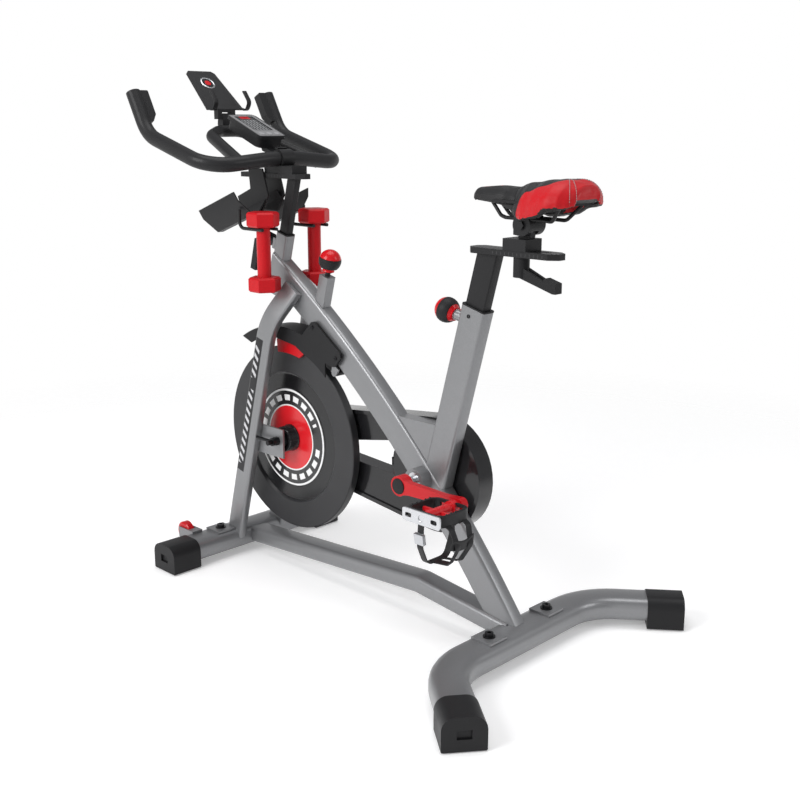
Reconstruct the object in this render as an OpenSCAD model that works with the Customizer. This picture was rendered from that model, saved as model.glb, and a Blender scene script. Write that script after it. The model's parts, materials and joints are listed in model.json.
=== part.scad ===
// Indoor spin bike: welded tube frame, belt-driven flywheel, magnetic brake, adjustable saddle and handlebar.
// X runs from the handlebar end (-) to the saddle end (+), Y from the open side (-) to the belt side (+),
// Z is up and the floor is z = 0. Every x below is measured from the middle of the handlebar-to-floor layout
// and in_place() moves the whole bike so that its bounding box is centred.

/* [Frame] */
// Height of the crank axis above the floor
crank_z = 330; // [325:1:335]
// X of the crank axis
crank_x = 88; // [84:1:92]
// X of the flywheel axle
axle_x = -367; // [-370:1:-364]
// Angle that seat tube, head tube and fork lean back from vertical
lean = 15; // [14:0.5:16]
// Depth of the main beam, square to its length
beam_depth = 66; // [62:1:68]
// Width of the main beam
beam_width = 40; // [38:1:42]
// Rise of the main beam's bow over its chord
beam_bow = 38; // [30:1:44]
// Height of the top of both stabiliser tubes
foot_top = 66; // [64:1:68]
// Width of the stabiliser tubes
foot_width = 80; // [76:1:82]
// Half length of the front stabiliser, caps included
front_half = 270; // [260:1:280]

/* [Drive] */
// Radius of the flywheel
wheel_r = 227; // [220:1:228]
// Thickness of the flywheel's rim
rim_t = 22; // [18:1:22]
// Pitch radius of the crank pulley
big_r = 110; // [100:1:112]
// Pitch radius of the flywheel pulley
small_r = 28; // [26:1:34]
// Y of the middle of the belt
belt_y = 41; // [40:1:42]
// Length of a crank arm, axis to axis
crank_len = 170; // [165:1:175]

/* [Seat] */
// Height of the seat tube's top
seat_top_z = 716; // [710:1:720]
// How far the seat post stands out of the tube
seat_out = 116; // [100:1:130]
// X of the saddle carriage on its bar
saddle_x = 328; // [310:1:350]

/* [Handlebar] */
// Height of the head tube's top
head_top_z = 824; // [818:1:828]
// Diameter of the coated handlebar
bar_d = 34; // [32:1:36]
// Half width between the centres of the two long horns
horn_y = 200; // [190:1:205]

/* [Hidden] */

origin_shift = 76.7;     // centres the bounding box on x = 0
fine = 64;              // facets of a full round
gap = 0.3;              // clearance between pieces that move past each other
fit = 0.05;             // radial clearance of a running fit

frame_grey = [0.50, 0.51, 0.52];
coat_black = [0.13, 0.13, 0.14];
bright_red = [0.86, 0.11, 0.13];
steel = [0.75, 0.76, 0.78];
rubber = [0.08, 0.08, 0.08];

module in_place() translate([origin_shift, 0, 0]) children();

// ---- outlines and paths -------------------------------------------------------------------------

function arc(c, r, a0, a1, n) = [for (i = [0:n]) let (a = a0 + (a1 - a0) * i / n) c + r * [cos(a), sin(a)]];
function round_box(w, h, r, n = 4) = concat(
    arc([w/2 - r, h/2 - r], r, 0, 90, n), arc([-w/2 + r, h/2 - r], r, 90, 180, n),
    arc([-w/2 + r, -h/2 + r], r, 180, 270, n), arc([w/2 - r, -h/2 + r], r, 270, 360, n));
function disc(r, n = 16) = [for (i = [0:n - 1]) r * [cos(360 * i / n), sin(360 * i / n)]];
function unit(v) = v / norm(v);

// A corner of a path replaced by an arc of radius r in n steps
function corner(a, p, b, r, n) =
    let (u = unit(a - p), v = unit(b - p), half = acos(u * v) / 2, c = p + unit(u + v) * r / sin(half),
         s = p + u * r / tan(half) - c, e = p + v * r / tan(half) - c, w = 180 - 2 * half)
    [for (i = [0:n]) c + (sin(w * (1 - i / n)) * s + sin(w * i / n) * e) / sin(w)];
function bent(p, r, n = 6) = concat([p[0]],
    [for (i = [1:len(p) - 2]) each corner(p[i - 1], p[i], p[i + 1], r, n)], [p[len(p) - 1]]);

function tangent(p, i) = i == 0 ? unit(p[1] - p[0]) : i == len(p) - 1 ? unit(p[i] - p[i - 1])
    : unit(unit(p[i + 1] - p[i]) + unit(p[i] - p[i - 1]));
function sides(p, s, i = 0) = i == len(p) ? [] :
    let (t = tangent(p, i), u = unit(s - (s * t) * t)) concat([u], sides(p, u, i + 1));

// A closed section carried along a path; side is where the section's x points at the start
module swept(section, path, side) {
    n = len(section);
    m = len(path);
    u = sides(path, side);
    points = [for (i = [0:m - 1]) let (v = cross(tangent(path, i), u[i])) for (q = section)
        path[i] + q[0] * u[i] + q[1] * v];
    walls = [for (i = [0:m - 2], j = [0:n - 1], half = [0, 1])
        let (a = i * n + j, b = i * n + (j + 1) % n) half == 0 ? [a, b, a + n] : [b, b + n, a + n]];
    ends = [[for (j = [0:n - 1]) n - 1 - j], [for (j = [0:n - 1]) (m - 1) * n + j]];
    polyhedron(points, [for (f = concat(walls, ends)) [for (k = [len(f) - 1:-1:0]) f[k]]]);
}

// A round rod or tube along a bent path
module rod(d, path, r, side = [0, 1, 0.01], n = 12, steps = 6)
    swept(disc(d / 2, n), r > 0 ? bent(path, r, steps) : path, side);

module straight_tube(w, d, r, wall, length) linear_extrude(length) difference() {
    polygon(round_box(w, d, r));
    polygon(round_box(w - 2 * wall, d - 2 * wall, max(r - wall, 0.6)));
}
module straight_bar(w, d, r, length) linear_extrude(length) polygon(round_box(w, d, r));

// Local frame whose z leans back with the posts, at a point [x, z] of the middle plane
module leaning(p) translate([p[0], 0, p[1]]) rotate([0, lean, 0]) children();
// An outline in x, z made into a plate between y0 and y1
module plate(y0, y1) translate([0, y1, 0]) rotate([90, 0, 0]) linear_extrude(y1 - y0) children();
// A cylinder along y
module pin(p, r, y0, y1) translate([p[0], y0, p[1]]) rotate([-90, 0, 0]) cylinder(r = r, h = y1 - y0, $fn = fine);
// A profile [r, y] turned about an axis along y
module turned(p, profile) translate([p[0], 0, p[1]]) rotate([-90, 0, 0])
    rotate_extrude($fn = 96) polygon(profile);
module both_sides() { children(); mirror([0, 1, 0]) children(); }

// ---- frame --------------------------------------------------------------------------------------

crank = [crank_x, crank_z];
axle = [axle_x, crank_z - 1];
seat_top = [220, seat_top_z];
head_top = [-376, head_top_z];
beam_top = [-331, 693];
beam_foot = [324, 45];
beam_corner = 8;
beam_wall = 2;
chord = beam_foot - beam_top;
chord_dir = unit(chord);
beam_normal = [-chord_dir[1], chord_dir[0]];
beam_r = (norm(chord) * norm(chord) / 4 + beam_bow * beam_bow) / (2 * beam_bow);
beam_centre = (beam_top + beam_foot) / 2 + beam_normal * (beam_bow - beam_r);
beam_a0 = atan2(beam_foot[1] - beam_centre[1], beam_foot[0] - beam_centre[0]) - 0.5;
beam_a1 = atan2(beam_top[1] - beam_centre[1], beam_top[0] - beam_centre[0]) + 2.2;

seat_w = 62;
seat_d = 36;
post_w = 50;
post_d = 25;
head_w = 40;
head_d = 28;
stem_w = 30;
stem_d = 18;
tube_wall = 2;
seat_wall = 2.5;
head_len = 150;
shell_r = 27;
shell_y0 = -49;
shell_y1 = 17;

module beam_arc(depth, width, r, a0, a1)
    translate([beam_centre[0], 0, beam_centre[1]]) rotate([90, 0, 0]) rotate([0, 0, a0])
        rotate_extrude(angle = a1 - a0, $fn = 720) translate([beam_r, 0]) polygon(round_box(depth, width, r, 3));

module beam_solid() beam_arc(beam_depth, beam_width, beam_corner, beam_a0, beam_a1);
// The beam's side outline, for cutting what is welded to its top and bottom faces
module beam_slab() plate(-40, 40) polygon(concat(arc(beam_centre, beam_r + beam_depth / 2, beam_a0, beam_a1, 60),
    arc(beam_centre, beam_r - beam_depth / 2, beam_a1, beam_a0, 60)));
module head_solid() leaning(head_top) translate([0, 0, -head_len]) straight_bar(head_w, head_d, 6, head_len);
module seat_solid() leaning(seat_top) translate([0, 0, -410]) straight_bar(seat_w, seat_d, 7, 410);

module main_beam() color(frame_grey) in_place() difference() {
    beam_solid();
    beam_arc(beam_depth - 2 * beam_wall, beam_width - 2 * beam_wall, beam_corner - beam_wall,
        beam_a0 + 0.8, beam_a1 - 2.6);
    head_solid();
    leaning(head_top) translate([-100 - head_w / 2 + 5, -50, -300]) cube([100, 100, 400]);
    pin(crank, shell_r, -60, 60);
    translate([0, -50, foot_top - 100]) cube([600, 100, 100]);
    leaning([knob_foot[0], knob_foot[1]]) translate([0, 0, -90]) cylinder(r = rod_r + 2, h = 200, $fn = fine);
}

module head_tube() color(frame_grey) in_place() leaning(head_top) difference() {
    union() {
        translate([0, 0, -head_len]) straight_tube(head_w, head_d, 6, tube_wall, head_len);
        // pad that the clamp lever's screw turns in
        translate([-head_w / 2 - pad_t, -11, -lever_drop - 13]) cube([pad_t, 22, 26]);
    }
    translate([-head_w / 2 - 20, 0, -lever_drop]) rotate([0, 90, 0]) cylinder(r = 5 + fit, h = 24, $fn = fine);
}
pad_t = 10;
lever_drop = 31;

module seat_tube() color(frame_grey) in_place() difference() {
    leaning(seat_top) translate([0, 0, -410]) straight_tube(seat_w, seat_d, 7, seat_wall, 410);
    beam_solid();
    seat_pin_hole();
}
module seat_pin_hole() leaning(seat_top) translate([-60, 0, -pin_drop]) rotate([0, 90, 0])
    cylinder(r = 6, h = 40, $fn = fine);

module bb_shell() color(frame_grey) in_place() difference() {
    pin(crank, shell_r, shell_y0, shell_y1);
    pin(crank, 20, shell_y0 - 1, shell_y1 + 1);
}

// Gusset, brake knob post, seat pin collar, brake bracket, stabiliser plates and transport wheel forks
knob_foot = [-245, 690];
knob_post_top = 50;
rod_r = 6;
foot_bolts = [[-549, -97], [-549, 113], [345, -95], [345, 95]];
pin_r = 4.6;
pin_drop = 34;
module frame_lugs() color(frame_grey) in_place() {
    difference() {
        plate(-16, 16) polygon([[0, 455], [125, 455], [125, 340], [60, 340]]);
        beam_slab();
        seat_solid();
    }
    knob_post();
    seat_pin_collar();
    brake_bracket();
    for (p = foot_bolts) translate([p[0] - 26, p[1] - 26, foot_top]) cube([52, 52, 5]);
    for (side = [-1, 1]) wheel_fork(side * wheel_y);
}
module knob_post() difference() {
    leaning(knob_foot) difference() {
        translate([0, 0, -30]) straight_bar(30, 26, 3, knob_post_top + 30);
        translate([0, 0, -31]) straight_bar(24, 20, 1, knob_post_top + 19);
        translate([0, 0, -40]) cylinder(r = rod_r + fit, h = 120, $fn = fine);
    }
    beam_slab();
}
module seat_pin_collar() leaning(seat_top) translate([-seat_w / 2, 0, -pin_drop]) rotate([0, -90, 0])
    difference() {
        cylinder(r = 11, h = 18, $fn = fine);
        translate([0, 0, -1]) cylinder(r = pin_r + fit, h = 30, $fn = fine);
    }
carrier_pivot = axle + 262 * [cos(47), sin(47)];
module brake_bracket() difference() {
    union() {
        pin(carrier_pivot, 3, -25, 25);
        for (side = [-1, 1]) plate(side * 22.5 - 2, side * 22.5 + 2)
            polygon(concat(arc(carrier_pivot, 8, -200, -20, 8), [[-150, 560], [-190, 595]]));
        plate(-24, 24) polygon([[-150, 560], [-190, 595], [-200, 560], [-170, 540]]);
    }
    beam_slab();
    plate(-20.4, 20.4) polygon([[-250, 480], [-250, 552], [-178, 552], [-150, 528], [-150, 480]]);
}

transport = [-614, 60];
wheel_y = 157;
module wheel_fork(y) {
    difference() {
        translate([transport[0] - 12, y - 15, transport[1] - 13]) cube([60, 30, 26]);
        translate([transport[0] - 40, y - 11, transport[1] - 40]) cube([66, 22, 80]);
        front_tube_solid();
    }
    pin(transport, 4, y - 15, y + 15);
}

fork_w = 52;
fork_t = 22;
// A leg's centre line; short takes that share off its straight foot and off its bent top
function leg_path(y, top_y, short = 0) = let (foot = [-533, y, 50], knee = [-379, y, 616], top = [-322, top_y, 704])
    bent([foot + short * (knee - foot) / 8, knee, top + short * (knee - top) / 2.5], 190, 8);
module leg(y, top_y) difference() {
    swept(round_box(fork_w, fork_t, 6), leg_path(y, top_y), [1, 0, 0]);
    beam_solid();
    head_solid();
    front_tube_solid();
}
module hollow_leg(y, top_y) difference() {
    leg(y, top_y);
    swept(round_box(fork_w - 2 * tube_wall, fork_t - 2 * tube_wall, 6 - tube_wall, 2), leg_path(y, top_y, 1), [1, 0, 0]);
}
module fork_left() color(frame_grey) in_place() hollow_leg(-59, -26);
module fork_right() color(frame_grey) in_place() hollow_leg(75, 26);

foot_h = 52;
module foot_section(grow = 0) polygon(round_box(foot_width + 2 * grow, foot_h + 2 * grow, 20 + grow));
module front_tube_solid() translate([-549, 0, foot_top - foot_h / 2]) rotate([90, 0, 0])
    linear_extrude(2 * front_half - 40, center = true) foot_section();
foot_mid = foot_top - foot_h / 2;
rear_bend = [345, 231];
rear_dir = 38;
rear_out = [cos(rear_dir), sin(rear_dir)];
rear_tip = rear_bend + 182 * rear_out;
rear_path = bent([[rear_tip[0], -rear_tip[1], foot_mid], [rear_bend[0], -rear_bend[1], foot_mid],
    [rear_bend[0], rear_bend[1], foot_mid], [rear_tip[0], rear_tip[1], foot_mid]], 150, 8);
module rear_tube_solid(grow = 0) swept(round_box(foot_width + 2 * grow, foot_h + 2 * grow, 20 + grow),
    rear_path, [1, 0, 0]);

lower_path = bent([[-540, 0, 40], [70, 0, 79], [330, 0, 50]], 90, 4);
module lower_beam() color(frame_grey) in_place() difference() {
    swept(round_box(56, 40, 11), lower_path, [0, 1, 0]);
    swept(round_box(56 - 2 * tube_wall, 40 - 2 * tube_wall, 11 - tube_wall, 2), lower_path, [0, 1, 0]);
    front_tube_solid();
    rear_tube_solid();
    beam_solid();
}

module front_stabiliser() color(frame_grey) in_place() difference() {
    front_tube_solid();
    translate([-549, 0, foot_top - foot_h / 2]) rotate([90, 0, 0])
        linear_extrude(600, center = true) foot_section(-tube_wall);
    foot_bolt_holes();
}
module rear_stabiliser() color(frame_grey) in_place() difference() {
    rear_tube_solid();
    swept(round_box(foot_width - 2 * tube_wall, foot_h - 2 * tube_wall, 20 - tube_wall),
        concat([rear_path[0] + [4, -3, 0]], [for (i = [1:len(rear_path) - 2]) rear_path[i]],
            [rear_path[len(rear_path) - 1] + [4, 3, 0]]), [1, 0, 0]);
    foot_bolt_holes();
}
module foot_bolt_holes() for (p = foot_bolts) translate([p[0], p[1], foot_top - 10]) cylinder(r = 5, h = 30, $fn = 24);

module socket_bolt(r, head_r, head_h, length) {
    difference() {
        cylinder(r = head_r, h = head_h, $fn = 32);
        translate([0, 0, head_h / 2]) cylinder(r = head_r * 0.5, h = head_h, $fn = 6);
    }
    translate([0, 0, -length]) cylinder(r = r, h = length, $fn = 24);
}
screw_spots = [[-254, 620], [-176, 558]];
module bolts() color(coat_black) in_place() {
    for (p = foot_bolts) translate([p[0], p[1], foot_top + 5]) {
        cylinder(r = 13, h = 2, $fn = 48);
        translate([0, 0, 2]) socket_bolt(5, 9, 7, 2);
    }
    for (p = screw_spots) translate([p[0], -fender_y, p[1]]) rotate([90, 0, 0]) socket_bolt(2, 4.5, 2, 10);
}

// Moulded cap: x is across, y is up, extruded along the tube
function cap_outline(w, h) = concat(arc([w/2 - 26, h - 26], 26, 0, 90, 6), arc([-w/2 + 26, h - 26], 26, 90, 180, 6),
    [[-w/2, 4], [-w/2 + 2, 2], [w/2 - 2, 2], [w/2, 4]]);
cap_len = 79;
tube_in_cap = 60;
module cap() difference() {
    rotate([90, 0, 90]) linear_extrude(cap_len) polygon(cap_outline(85, 70));
    translate([-1, 0, foot_top - foot_h / 2]) rotate([90, 0, 90]) linear_extrude(tube_in_cap + 1) foot_section();
    translate([leveller_at, 0, -1]) cylinder(r = 20, h = 12, $fn = fine);
    translate([cap_len - 5, -14, 26]) cube([10, 28, 18]);
}
leveller_at = 42;
module on_front_cap(side) translate([-549, side * (front_half - cap_len), 0]) rotate([0, 0, 90 * side]) children();
rear_cap = rear_tip - 44 * rear_out;
module on_rear_cap(side) translate([rear_cap[0], side * rear_cap[1], 0]) rotate([0, 0, side * rear_dir]) children();
module end_caps() color(rubber) in_place() for (side = [-1, 1]) {
    on_front_cap(side) cap();
    on_rear_cap(side) cap();
}

module post_sleeve(outer, inner, wall, depth) difference() {
    union() {
        translate([0, 0, -depth]) straight_bar(outer[0] - 2 * wall, outer[1] - 2 * wall, 5, depth);
        straight_bar(outer[0], outer[1], 6, 3);
    }
    translate([0, 0, -depth - 1]) straight_bar(inner[0] + 2 * gap, inner[1] + 2 * gap, 3, depth + 6);
}
module post_sleeves() color(coat_black) in_place() {
    difference() {
        leaning(seat_top) post_sleeve([seat_w, seat_d], [post_w, post_d], seat_wall, 80);
        seat_pin_hole();
    }
    leaning(head_top) post_sleeve([head_w, head_d], [stem_w, stem_d], tube_wall, 70);
}

// ---- flywheel and its bearings ------------------------------------------------------------------

plate_in = -50;
plate_far = 62.5;
axle_r = 6;
module axle_plate(y) difference() {
    plate(y, y + 5) polygon([[axle[0] - 72, axle[1] + 30], [axle[0] + 20, axle[1] + 30], [axle[0] + 20, axle[1] - 42],
        [axle[0] - 90, axle[1] - 42]]);
    pin(axle, axle_r + 0.2, y - 1, y + 6);
}
module axle_plates() color(frame_grey) in_place() {
    difference() {
        axle_plate(plate_in);
        leg(-59, -26);
    }
    difference() {
        axle_plate(plate_far);
        leg(75, 26);
    }
}

module flywheel_axle() color(steel) in_place() {
    pin(axle, axle_r, -82, 90);
    for (y = [plate_in - 10, plate_far + 5]) difference() {
        translate([axle[0], y, axle[1]]) rotate([-90, 0, 0]) cylinder(r = 11, h = 10, $fn = 6);
        pin(axle, axle_r, y - 1, y + 11);
    }
    // eye bolts that pull the axle forward and set the belt's tension
    for (y = [plate_in - 15, plate_far + 20]) difference() {
        union() {
            pin(axle, 10, y - 4, y + 4);
            translate([axle[0] - 60, y, axle[1]]) rotate([0, 90, 0]) cylinder(r = 4, h = 55, $fn = 24);
        }
        pin(axle, axle_r, y - 9, y + 9);
    }
}

half_t = rim_t / 2;
web_t = 5;
module flywheel() color(coat_black) in_place() turned(axle, [[24, -web_t], [158, -web_t], [164, -half_t],
    [wheel_r - 2, -half_t], [wheel_r, -half_t + 2], [wheel_r, half_t - 2], [wheel_r - 2, half_t], [164, half_t],
    [158, web_t], [24, web_t]]);
module flywheel_disc() color(bright_red) in_place() turned(axle, [[24, -web_t - 3], [121, -web_t - 3],
    [124, -web_t], [24, -web_t]]);
module flywheel_hub() color(coat_black) in_place() {
    turned(axle, [[16, -44], [18, -44], [21, -14], [24, -14], [24, 26], [16, 26]]);
    for (y = [-40, 14]) difference() {
        pin(axle, 16, y, y + 10);
        pin(axle, axle_r + fit, y - 1, y + 11);
    }
}
module flywheel_pulley() color(steel) in_place() turned(axle, [[axle_r + 1, 26], [20, 26], [20, belt_y - 11],
    [small_r + 3, belt_y - 11], [small_r + 3, belt_y - 9.5], [small_r, belt_y - 9], [small_r, belt_y + 9],
    [small_r + 3, belt_y + 9.5], [small_r + 3, belt_y + 11], [axle_r + 1, belt_y + 11]]);

// ---- belt, guards, fender -----------------------------------------------------------------------

// Outline of a band round both pulleys, r0 at the crank and r1 at the flywheel
function band(r0, r1, n = 24) = let (a = acos((r0 - r1) / norm(crank - axle)))
    concat(arc(crank, r0, -180 + a, 180 - a, n), arc(axle, r1, 180 - a, 180 + a, n));
module drive_belt() color(rubber) in_place() plate(belt_y - 8, belt_y + 8) difference() {
    polygon(band(big_r + 4, small_r + 4));
    polygon(band(big_r + gap, small_r + gap));
}

guard_back = 130;
guard_front = 78;
guard_y0 = 20;
guard_y1 = 62;
guard_wall = 2.5;
// The opening between the two belt runs, its rear end round with the disc
function window(grow) = let (r = guard_back - 2 - grow)
    concat(arc(crank, r, 155, 193, 6), [[-215 + grow, 312 + grow], [-215 + grow, 348 - grow]]);
module guard_face(grow) difference() {
    polygon(band(guard_back + grow, guard_front + grow));
    polygon(window(grow));
}
module guard_outer() color(coat_black) in_place() difference() {
    plate(guard_y0 + 3, guard_y1) guard_face(0);
    plate(guard_y0 + 2, guard_y1 - guard_wall) guard_face(-guard_wall);
    pin(crank, 16, 40, 70);
    pin(axle, 22, 40, 70);
}
module guard_inner() color(coat_black) in_place() difference() {
    union() {
        plate(guard_y0, guard_y0 + 3) guard_face(0);
        // raised lip round the edge
        difference() {
            plate(guard_y0 - 4, guard_y0 + 1) difference() {
                guard_face(0);
                polygon(band(guard_back - 9, guard_front - 9));
            }
            beam_slab();
        }
    }
    pin(crank, 30, 10, 30);
    pin(axle, 26, 10, 30);
    seat_solid();
}

fender_r = 279;
fender_in = 237;
fender_y = 31;
fender_t = 3;
// Skirts that cover the brake and taper up to the front tip
fender_side = concat(arc(axle, fender_r, 122, 56, 24), arc(axle, fender_in, 49, 70, 8), arc(axle, 244, 78, 84, 2),
    arc(axle, 252, 96, 117, 8));
module fender() color(coat_black) in_place() difference() {
    union() {
        difference() {
            plate(-fender_y, fender_y) polygon(fender_side);
            plate(-fender_y + fender_t, fender_y - fender_t) polygon(concat(arc(axle, fender_r - fender_t, 140, 30, 30),
                arc(axle, fender_in - 10, 30, 140, 30)));
        }
        // side plate and the two bosses that carry it on the beam
        plate(-fender_y, -fender_y + 5) polygon([[-290, 597], [-257, 632], [-247, 634], [-160, 571], [-158, 561],
            [-177, 538], [-190, 536], [-280, 560]]);
        for (p = screw_spots) pin(p, 7, -fender_y + 1, -beam_width / 2 + 1);
    }
    beam_solid();
    for (p = screw_spots) pin(p, 2.1, -fender_y - 1, -beam_width / 2 + 2);
}

// ---- crankset -----------------------------------------------------------------------------------

spindle_r = 12;
arm_out = 95;
module bb_bearings() color(steel) in_place() for (y = [shell_y0 + 2, shell_y1 - 14]) difference() {
    pin(crank, 20, y, y + 12);
    pin(crank, spindle_r + fit, y - 1, y + 13);
}
module crank_spindle() color(steel) in_place() pin(crank, spindle_r, -arm_out + 3, arm_out - 3);

// Crank arm with its pedal spindle, pointing rearwards on the open side
module arm() {
    difference() {
        union() {
            pin(crank, 22, -arm_out, -arm_out + 24);
            plate(-arm_out, -arm_out + 14) polygon([crank + [0, 19], crank + [30, 14], crank + [130, 11],
                crank + [crank_len, 14], crank + [crank_len, -14], crank + [130, -11], crank + [30, -14],
                crank + [0, -19]]);
            pin(crank + [crank_len, 0], 14, -arm_out - 3, -arm_out + 14);
        }
        pin(crank, spindle_r, -arm_out - 10, -arm_out + 40);
        pin(crank + [crank_len, 0], 6, -arm_out - 10, -arm_out + 40);
    }
    difference() {
        pin(crank, spindle_r, -arm_out, -arm_out + 3);
        pin(crank, 9, -arm_out - 1, -arm_out + 0.8);
    }
    pin(crank + [crank_len, 0], 6, -pedal_y1 + 6, -arm_out + 14);
    pin(crank + [crank_len, 0], 9, -arm_out - 8, -arm_out - 3);
}
module crank_left() color(bright_red) in_place() arm();
module crank_right() color(bright_red) in_place() turn_over() arm();
// Carries the open side's arm or pedal half a turn round the crank axis to the belt side
module turn_over() translate([2 * crank_x, 0, 0]) rotate([0, 0, 180]) children();

module crank_pulley() color(steel) in_place() turned(crank, [[spindle_r, belt_y - 13], [30, belt_y - 13],
    [34, belt_y - 4], [96, belt_y - 4], [100, belt_y - 10], [big_r + 3, belt_y - 10], [big_r + 3, belt_y - 9],
    [big_r, belt_y - 8.5], [big_r, belt_y + 8.5], [big_r + 3, belt_y + 9], [big_r + 3, belt_y + 10],
    [100, belt_y + 10], [96, belt_y + 2], [34, belt_y + 2], [30, belt_y + 12], [spindle_r, belt_y + 12]]);

// ---- pedals -------------------------------------------------------------------------------------

pedal_y0 = 106;
pedal_y1 = 206;
pedal = [crank_x + crank_len, crank_z];
pedal_mid = (pedal_y0 + pedal_y1) / 2;
pedal_half = 49;
module pedal_frame() translate([pedal[0], -pedal_mid, pedal[1]]) {
    difference() {
        translate([0, 0, -12]) linear_extrude(24) difference() {
            polygon(round_box(2 * pedal_half, 90, 20));
            polygon(round_box(2 * pedal_half - 12, 78, 14));
        }
        translate([-30, 0, -6]) cube([60, 100, 12]);
        translate([-40, -35, -4]) cube([80, 70, 8]);
        rotate([90, 0, 0]) cylinder(r = 11.3, h = 120, center = true, $fn = fine);
        translate([0, 32, 0]) rotate([-90, 0, 0]) cylinder(r = 15.4, h = 20, $fn = fine);
    }
    // grip teeth along the front and rear rails, on both faces
    for (s = [-1, 1], z = [-1, 1], i = [-2:2]) translate([s * (pedal_half - 3), i * 13, z * 12])
        rotate([90 - z * 90, 0, 0]) cylinder(r1 = 2.6, r2 = 1.2, h = 3, $fn = 16);
    // toe cage: a band from the rear rail, round the toe and back under the foot
    toe_cage();
}
module toe_cage() {
    for (s = [-1, 1]) swept(round_box(14, 3, 1), bent([[pedal_half - 4, s * 24, -8], [pedal_half + 10, s * 24, -16],
        [pedal_half + 22, s * 18, -52], [pedal_half - 2, s * 14, -92], [6, s * 12, -98]], 12, 4), [0, 1, 0]);
    swept(round_box(22, 3, 1), bent([[pedal_half + 16, -32, -44], [pedal_half + 20, 0, -52],
        [pedal_half + 16, 32, -44]], 60, 6), [0.2, 0, 1]);
    swept(round_box(16, 2.4, 1), bent([[-4, -44, -7.5], [-4, -47, -62], [-4, -30, -101], [-4, 30, -101],
        [-4, 47, -62], [-4, 44, -7.5]], 18, 5), [1, 0, 0]);
    translate([-4, -48, -44]) rotate([8, 0, 0]) cube([24, 8, 22], center = true);
}
module pedal_core() {
    difference() {
        union() {
            pin(pedal, 11, -pedal_y1 + 4, -pedal_y0 - 4);
            pin(pedal, 15, -pedal_y0 - 16, -pedal_y0 - 4);
            for (s = [-1, 1]) translate([pedal[0] - 28 * (s + 1) / 2 - (s < 0 ? -9 : 11), -pedal_mid - 3, pedal[1] - 4])
                cube([30, 6, 8]);
        }
        pin(pedal, 6 + fit, -pedal_y1 + 4.5, -pedal_y0 + 10);
    }
    // bright end plate with the axle cap
    difference() {
        translate([pedal[0], -pedal_y1, pedal[1]]) rotate([-90, 0, 0]) linear_extrude(4) difference() {
            polygon(round_box(100, 27, 5));
            for (s = [-1, 1]) translate([s * 34, 0]) polygon(round_box(16, 9, 3));
        }
        pin(pedal, 7, -pedal_y1 - 1, -pedal_y1 + 1.5);
    }
}
module pedal_left() color(coat_black) in_place() pedal_frame();
module pedal_left_core() color(steel) in_place() pedal_core();
module pedal_right() color(coat_black) in_place() turn_over() pedal_frame();
module pedal_right_core() color(steel) in_place() turn_over() pedal_core();

// ---- magnetic brake -----------------------------------------------------------------------------

// Red shoe that straddles the rim, on an arm that swings under the fender
module magnet_carrier() color(bright_red) in_place() difference() {
    union() {
        difference() {
            plate(-20, 20) polygon(concat(arc(axle, 246, 70, 97, 10), arc(axle, 214, 97, 76, 8)));
            plate(-14, 14) polygon(concat(arc(axle, 240, 60, 105, 14), arc(axle, 205, 105, 60, 14)));
        }
        plate(-13, 13) polygon(concat(arc(carrier_pivot, 8, 227, 407, 10), arc(axle, 258, 54, 74, 8),
            arc(axle, 244, 76, 54, 8)));
        pin(carrier_pivot, 8, -20, 20);
    }
    pin(carrier_pivot, 3 + fit, -30, 30);
}
module brake_rod() color(steel) in_place() leaning(knob_foot) translate([0, 0, -76])
    cylinder(r = rod_r, h = 76 + knob_post_top + 24, $fn = fine);
knob_r = 26;
module resistance_knob() color(coat_black) in_place() leaning(knob_foot) translate([0, 0, knob_post_top + 37])
    difference() {
        union() {
            sphere(r = knob_r, $fn = fine);
            translate([0, 0, -28]) cylinder(r = 11, h = 15, $fn = fine);
        }
        translate([0, 0, -40]) cylinder(r = rod_r + fit, h = 27 + gap, $fn = fine);
    }

// ---- saddle -------------------------------------------------------------------------------------

bar_z = 829;
slide_t = 12;
slide_w = 46;
// Flat slide bar with chamfered ends, from x0 to x1
module slide_bar(x0, x1, w, z, t) translate([0, 0, z]) linear_extrude(t) polygon([[x0, -w/2 + 12], [x0 + 12, -w/2],
    [x1 - 18, -w/2], [x1, -w/2 + 14], [x1, w/2 - 14], [x1 - 18, w/2], [x0 + 12, w/2], [x0, w/2 - 12]]);
module seat_post() color(coat_black) in_place() difference() {
    union() {
        intersection() {
            leaning(seat_top) translate([0, 0, -215]) straight_bar(post_w, post_d, 3, 215 + 160);
            translate([0, -100, 0]) cube([600, 200, bar_z]);
        }
        slide_bar(206, 424, slide_w, bar_z, slide_t);
    }
    leaning(seat_top) translate([0, 0, -216]) straight_bar(post_w - 2 * tube_wall, post_d - 2 * tube_wall, 2, 215 + seat_out - 8);
    for (i = [0:8]) leaning(seat_top) translate([-40, 0, -34 + 25 * (i - 5)]) rotate([0, 90, 0])
        cylinder(r = 5, h = 30, $fn = 24);
    translate([saddle_x, 0, bar_z - 1]) slot(-38, 65, 5.2, slide_t + 2);
}
module slot(x0, x1, r, h) {
    translate([x0, -r, 0]) cube([x1 - x0, 2 * r, h]);
    for (x = [x0, x1]) translate([x, 0, 0]) cylinder(r = r, h = h, $fn = 32);
}
top_z = bar_z + slide_t;
clamp = [saddle_x + 16, 891];
block_y = 25;
head_y = 24.4;
lug_y = 8;
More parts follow.
